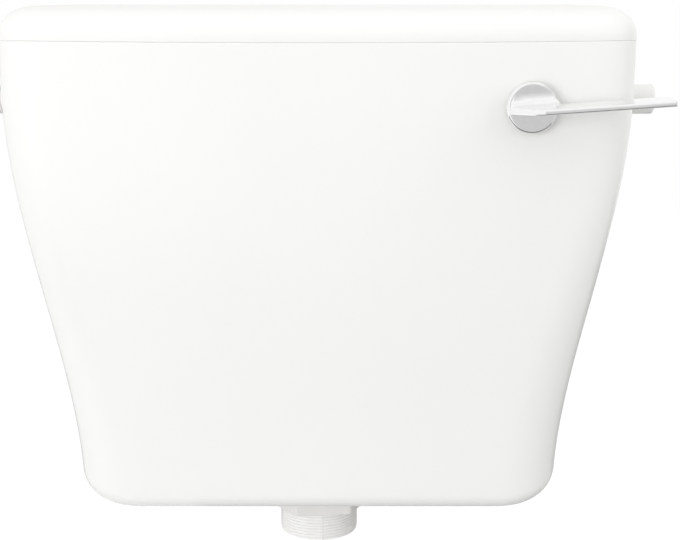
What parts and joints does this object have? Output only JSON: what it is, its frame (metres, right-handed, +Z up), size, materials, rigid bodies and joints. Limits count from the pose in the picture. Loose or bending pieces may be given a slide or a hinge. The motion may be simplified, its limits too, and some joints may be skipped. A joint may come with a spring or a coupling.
{
  "type": "toilet cistern",
  "caption": "Low-level plastic toilet cistern: tapered tank, lift-off lid, chrome side lever, siphon on a threaded bottom outlet, side float valve and overflow spigot.",
  "frame": {"origin": "midway between the two wall-fixing holes, on the plane of the back wall", "axes": "+Y goes into the wall, +X is to the right seen from the front, +Z is up"},
  "size_m": [0.5, 0.206, 0.4],
  "materials": {
    "tank_white": "smooth glossy white moulding",
    "moulded_white": "satin white injection moulding",
    "chrome": "bright plated, slightly streaked",
    "steel": "plain stainless",
    "brass": "turned brass",
    "rubber_black": "moulded rubber",
    "rubber_red": "moulded silicone",
    "film_clear": "thin translucent sheet",
    "foam_white": "closed bead foam",
    "tube_grey": "soft extruded tube"
  },
  "bodies": {
    "tank": {"cistern_body": "tank_white", "lever_bush": "moulded_white", "bush_washer": "rubber_black", "bush_nut": "moulded_white", "rod_guide": "moulded_white", "siphon_body": "moulded_white", "union_seal": "rubber_black", "union_collar": "moulded_white", "outlet_tail": "moulded_white", "outlet_seal": "rubber_black", "base_washer": "moulded_white", "outlet_backnut": "moulded_white", "valve_body": "moulded_white", "inlet_seal": "rubber_black", "inlet_backnut": "moulded_white", "inlet_filter": "film_clear", "valve_diaphragm": "rubber_red", "valve_cap": "moulded_white", "discharge_tube": "tube_grey", "pivot_pin": "brass", "overflow_connector": "moulded_white", "overflow_seal": "rubber_black", "overflow_nut": "moulded_white"},
    "lever": {"lever_handle": "chrome", "lever_spindle": "brass", "spindle_clip": "steel", "lift_arm": "moulded_white", "clamp_screw": "steel"},
    "plunger": {"lift_link": "steel", "lift_rod": "brass", "rod_nut": "brass", "lift_plate": "moulded_white", "siphon_diaphragm": "film_clear", "diaphragm_washer": "moulded_white"},
    "float_assembly": {"float_arm": "moulded_white", "pilot_seal": "rubber_black", "float_stem": "moulded_white", "stem_nuts": "moulded_white", "float": "foam_white"},
    "lid": {"lid": "tank_white"}
  },
  "joints": [
    {"name": "lever_turn", "type": "hinge", "parent": "tank", "child": "lever", "pos_m": [0.14, -0.18, -0.013], "axis": [0, 1, 0], "range_deg": [0, 38]},
    {"name": "plunger_lift", "type": "slide", "parent": "tank", "child": "plunger", "axis": [0, 0, 1], "range_m": [0, 0.0365]},
    {"name": "float_swing", "type": "hinge", "parent": "tank", "child": "float_assembly", "pos_m": [-0.1386, -0.085, -0.024], "axis": [0, -1, 0], "range_deg": [0, 12]},
    {"name": "lid_lift", "type": "slide", "parent": "tank", "child": "lid", "axis": [0, 0, 1], "range_m": [0, 0.1]}
  ],
  "couplings": [
    {"joint": "plunger_lift", "follows": "lever_turn", "m_per_rad": 0.054}
  ]
}
